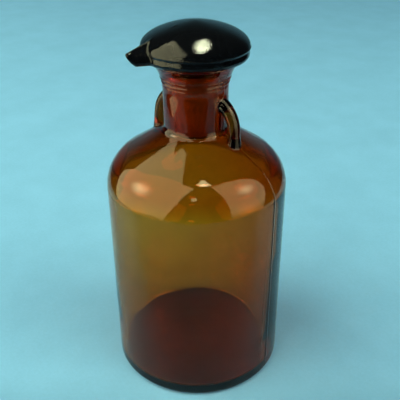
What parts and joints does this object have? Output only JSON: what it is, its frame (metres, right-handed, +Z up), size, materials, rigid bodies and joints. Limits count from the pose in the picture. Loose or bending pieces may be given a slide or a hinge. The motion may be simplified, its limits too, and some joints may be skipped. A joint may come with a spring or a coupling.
{
  "type": "reagent dropping bottle",
  "caption": "Amber glass dropping bottle with loop ears at its neck and a ground-in domed stopper whose beak pours drops.",
  "frame": {"origin": "centre of the base's resting ring, on the surface it stands on", "axes": "+Z up along the bottle's axis; X through both ears, and the mould seam runs in the X-Z plane; the stopper's beak points 241 degrees anticlockwise from +X, seen from above"},
  "size_m": [0.05, 0.05, 0.1031],
  "materials": {
    "amber_glass": "clear fire-polished brown glass, smooth, with a ground bore in the neck",
    "dark_glass": "very dark brown pressed glass that reads black, glossy, with a ground plug"
  },
  "bodies": {
    "bottle": {"bottle": "amber_glass"},
    "stopper": {"stopper": "dark_glass"}
  },
  "joints": [
    {"name": "stopper_lift", "type": "slide", "parent": "bottle", "child": "stopper", "axis": [0, 0, 1], "range_m": [0, 0.03]}
  ]
}
